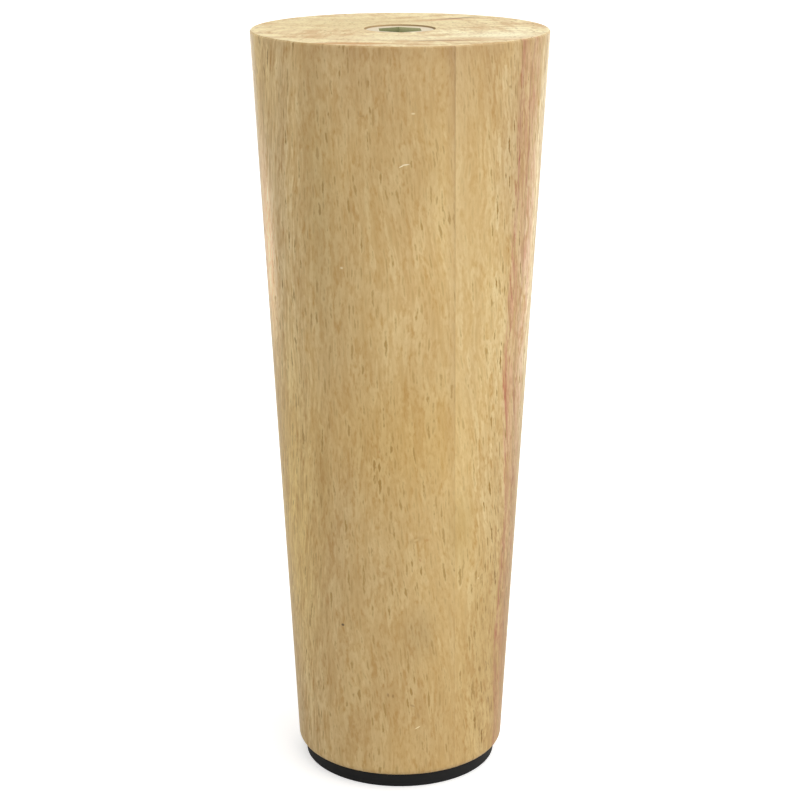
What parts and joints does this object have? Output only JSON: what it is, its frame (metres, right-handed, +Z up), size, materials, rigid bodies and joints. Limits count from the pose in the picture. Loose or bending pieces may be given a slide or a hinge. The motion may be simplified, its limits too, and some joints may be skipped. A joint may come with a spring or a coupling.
{
  "type": "furniture leg",
  "caption": "Tapered round hardwood furniture leg with a hexagon-drive threaded insert set in its top and a round black rubber pad under its foot.",
  "frame": {"origin": "middle of the rubber pad's lower face, which is what the leg stands on", "axes": "+Z up the leg's axis, from the foot to the top with the insert; the flats of the hexagon socket face +X and -X, turned 2.5 degrees from them"},
  "size_m": [0.0584, 0.0584, 0.153],
  "materials": {
    "rubberwood": "sanded smooth under a thin clear matt finish, end grain at the top",
    "zinc": "die-cast zinc, dull",
    "black_rubber": "smooth matt sheet rubber"
  },
  "bodies": {
    "root": {"turned_leg": "rubberwood", "threaded_insert": "zinc", "foot_pad": "black_rubber"}
  },
  "joints": []
}
